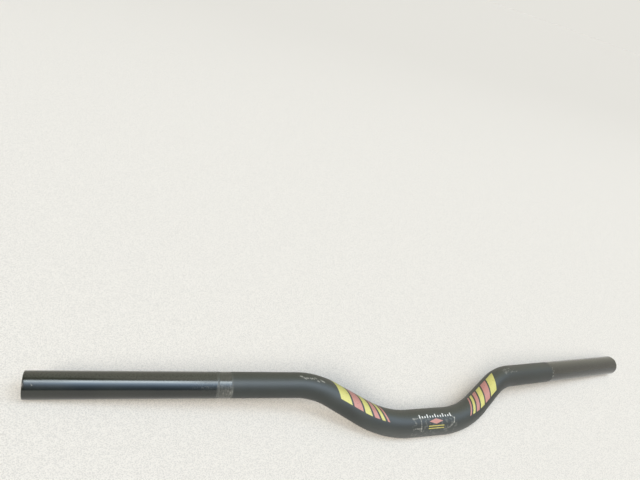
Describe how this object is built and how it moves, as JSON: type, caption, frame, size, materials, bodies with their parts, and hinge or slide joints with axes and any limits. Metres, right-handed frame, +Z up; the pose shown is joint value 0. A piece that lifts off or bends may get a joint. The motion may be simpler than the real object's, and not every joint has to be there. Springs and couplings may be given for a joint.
{
  "type": "riser handlebar",
  "caption": "Riser bicycle handlebar: a bent, butted aluminium tube with a wider clamp area, rise and sweep, and open plain ends, in worn black anodised finish.",
  "frame": {"origin": "centre of the stem clamp, on the tube's axis", "axes": "+X along the clamp's axis to the right end, +Y from the clamp towards the tips along the floor, +Z up from the floor that the bar lies on"},
  "size_m": [0.6886, 0.0932, 0.0419],
  "materials": {
    "black_anodised": "black anodised, satin in the middle and polished by use at the grips, with pale scuffs"
  },
  "bodies": {
    "root": {"handlebar": "black_anodised"}
  },
  "joints": []
}
